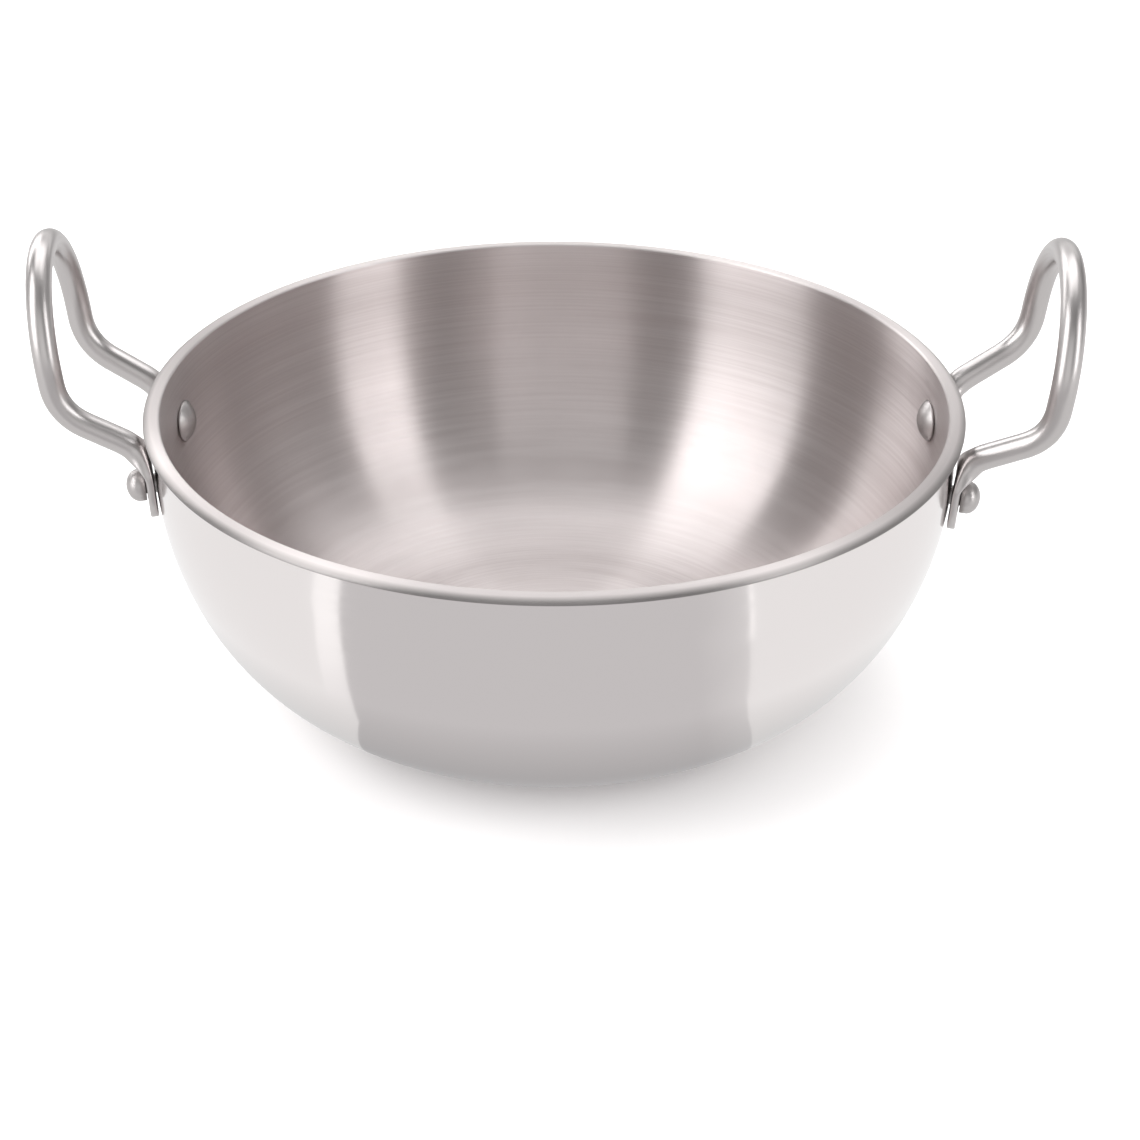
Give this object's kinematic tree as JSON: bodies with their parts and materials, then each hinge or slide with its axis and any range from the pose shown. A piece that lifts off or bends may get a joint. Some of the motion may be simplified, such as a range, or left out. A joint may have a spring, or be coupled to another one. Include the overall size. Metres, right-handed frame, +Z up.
{
  "type": "deep pan",
  "caption": "Round-bottomed deep pan of polished aluminium with a flat base, a narrow lip and tall wire loop handles riveted to opposite sides.",
  "frame": {"origin": "centre of the underside of the flat base", "axes": "+X towards the right handle, +Y towards the back, +Z up; seen from -Y the left handle is on -X"},
  "size_m": [0.3006, 0.24, 0.1385],
  "materials": {
    "polished_aluminium": "mirror polished outside, satin brushed round the inside",
    "steel_wire": "polished",
    "rivet_aluminium": "matte"
  },
  "bodies": {
    "root": {"bowl": "polished_aluminium", "left_handle": "steel_wire", "right_handle": "steel_wire", "left_front_rivet": "rivet_aluminium", "left_rear_rivet": "rivet_aluminium", "right_front_rivet": "rivet_aluminium", "right_rear_rivet": "rivet_aluminium"}
  },
  "joints": []
}
